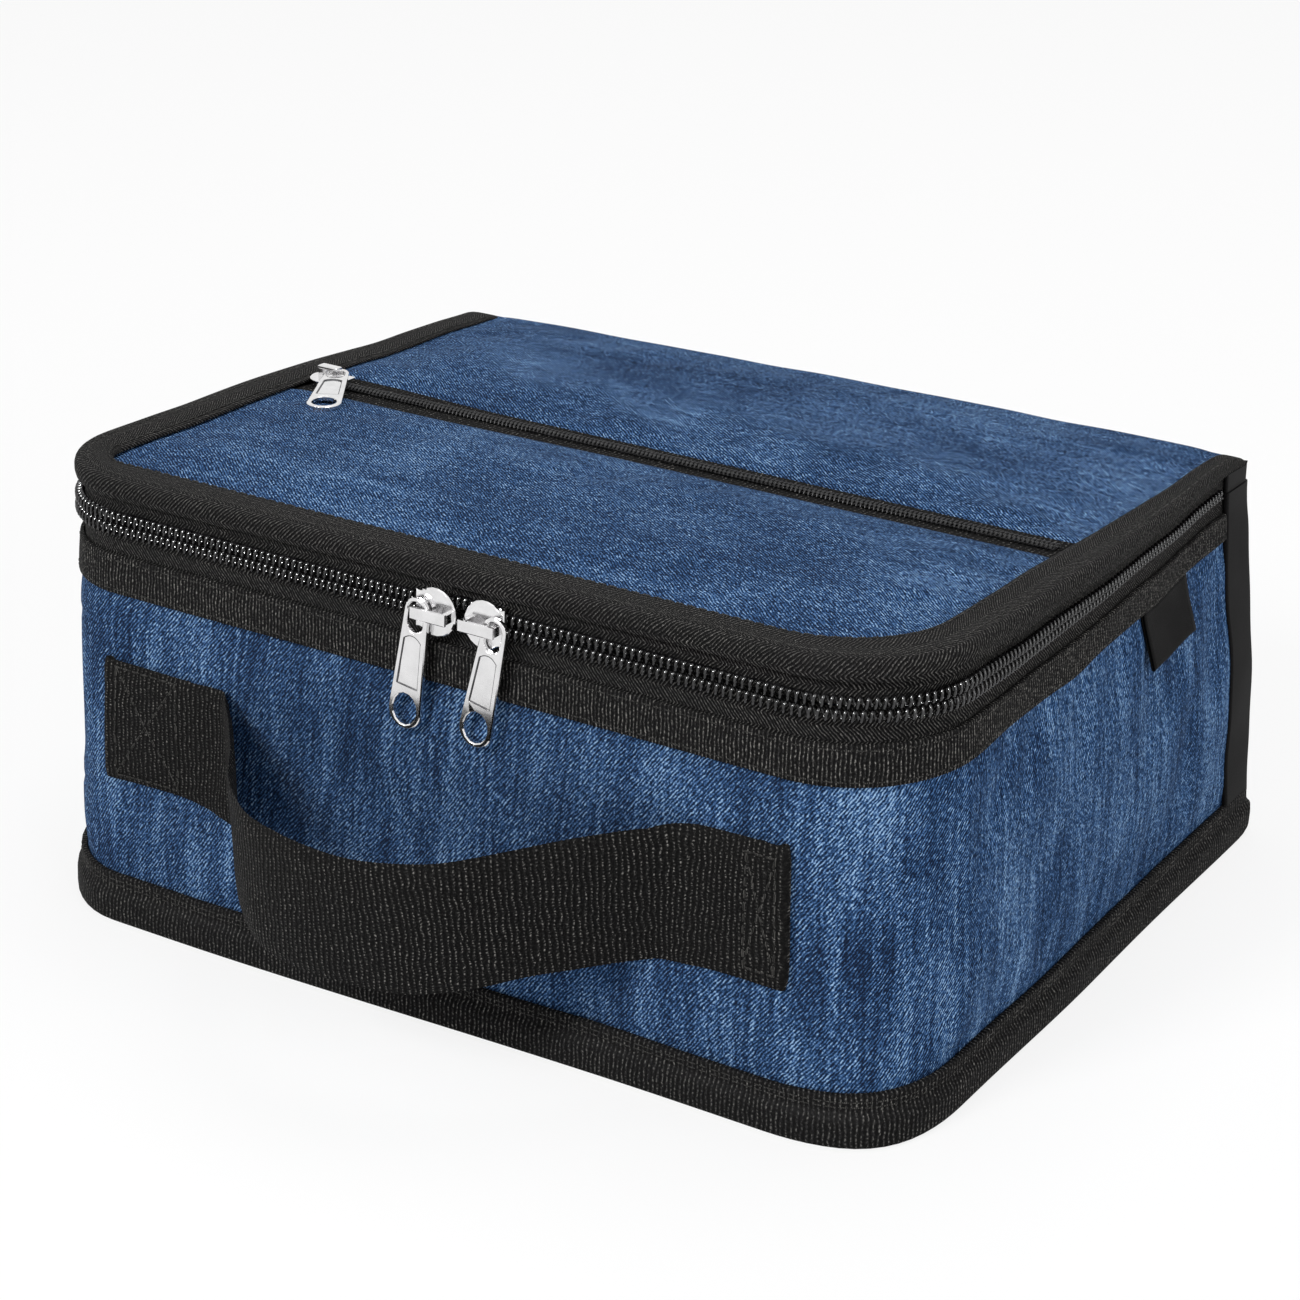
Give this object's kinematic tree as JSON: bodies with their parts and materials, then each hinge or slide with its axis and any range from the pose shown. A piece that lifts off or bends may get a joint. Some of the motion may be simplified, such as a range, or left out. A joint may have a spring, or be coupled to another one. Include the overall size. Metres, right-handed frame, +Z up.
{
  "type": "insulated lunch bag",
  "caption": "Soft box-shaped insulated lunch bag with a zip-round lid, a zipped lid pocket and a webbing carry handle standing out from its front wall.",
  "frame": {"origin": "middle of the base fabric's under side, where the bag rests", "axes": "+Z up, out of the base; -Y towards the front wall with the handle and the two zip pulls; +X to the right seen from the front"},
  "size_m": [0.2771, 0.2623, 0.1269],
  "materials": {
    "blue_fabric": "heathered blue twill with a soft matt face",
    "black_binding": "black woven binding and grosgrain band",
    "black_webbing": "coarse ribbed black webbing",
    "smooth_binding": "smooth black coated edge binding with a low sheen",
    "zip_tape": "black herringbone zip tape",
    "zip_coil": "black nylon coil",
    "tag_cloth": "black woven tag, bare",
    "pocket_cloth": "thin black pocket cloth",
    "foam": "white closed-cell insulating foam sheet",
    "board": "grey stiffening board",
    "foil_lining": "silver foil-faced film lining",
    "nickel": "bright polished nickel plate on cast zinc"
  },
  "bodies": {
    "bag": {"side_wall_fabric": "blue_fabric", "back_panel_fabric": "blue_fabric", "base_fabric": "blue_fabric", "base_board": "board", "base_foam": "foam", "wall_foam": "foam", "back_foam": "foam", "body_lining": "foil_lining", "base_binding": "smooth_binding", "lower_band": "black_binding", "back_binding_left": "smooth_binding", "back_binding_right": "smooth_binding", "side_tag": "tag_cloth", "lower_zip_tape": "zip_tape", "lower_coil": "zip_coil", "handle_end_left": "black_webbing", "handle_end_right": "black_webbing"},
    "lid": {"lid_binding": "black_binding", "lid_front_fabric": "blue_fabric", "lid_rear_fabric": "blue_fabric", "pocket_tape_front": "zip_tape", "pocket_tape_rear": "zip_tape", "pocket_coil_front": "zip_coil", "pocket_coil_rear": "zip_coil", "pocket_backing": "pocket_cloth", "lid_foam": "foam", "lid_lining": "foil_lining", "upper_zip_tape": "zip_tape", "upper_coil": "zip_coil"},
    "handle": {"handle_grip": "black_webbing"},
    "zip_slider_left": {"slider_left": "nickel"},
    "zip_slider_right": {"slider_right": "nickel"},
    "zip_pull_left": {"pull_left": "nickel"},
    "zip_pull_right": {"pull_right": "nickel"},
    "lid_pocket_slider": {"pocket_slider": "nickel"},
    "lid_pocket_pull": {"pocket_pull": "nickel"}
  },
  "joints": [
    {"name": "lid_hinge", "type": "hinge", "parent": "bag", "child": "lid", "pos_m": [0, 0.11011, 0.10696], "axis": [-1, 0, 0], "range_deg": [0, 175], "deforming": ["upper_coil", "upper_zip_tape"]},
    {"name": "slider_left_slide", "type": "slide", "parent": "bag", "child": "zip_slider_left", "axis": [-1, 0, 0], "range_m": [0, 0.1], "deforming": ["lower_coil", "lower_zip_tape"]},
    {"name": "slider_right_slide", "type": "slide", "parent": "bag", "child": "zip_slider_right", "axis": [1, 0, 0], "range_m": [0, 0.075]},
    {"name": "pull_left_swing", "type": "hinge", "parent": "zip_slider_left", "child": "zip_pull_left", "pos_m": [-0.00265, -0.10419, 0.11439], "axis": [0, 1, 0], "range_deg": [-13.5, 93.5]},
    {"name": "pull_right_swing", "type": "hinge", "parent": "zip_slider_right", "child": "zip_pull_right", "pos_m": [0.02091, -0.10419, 0.11439], "axis": [0, -1, 0], "range_deg": [-5, 100]},
    {"name": "pocket_slider_slide", "type": "slide", "parent": "lid", "child": "lid_pocket_slider", "axis": [1, 0, 0], "range_m": [0, 0.22], "deforming": ["pocket_coil_front", "pocket_coil_rear", "pocket_tape_front", "pocket_tape_rear"]},
    {"name": "pocket_pull_swing", "type": "hinge", "parent": "lid_pocket_slider", "child": "lid_pocket_pull", "pos_m": [-0.11256, 0.00751, 0.12211], "axis": [0, 0.0518, 0.9987], "range_deg": [-35, 95]},
    {"name": "handle_swing", "type": "hinge", "parent": "bag", "child": "handle", "pos_m": [0, -0.10226, 0.0585], "axis": [-1, 0, 0], "range_deg": [-20, 45], "deforming": ["handle_end_left", "handle_end_right"]}
  ]
}
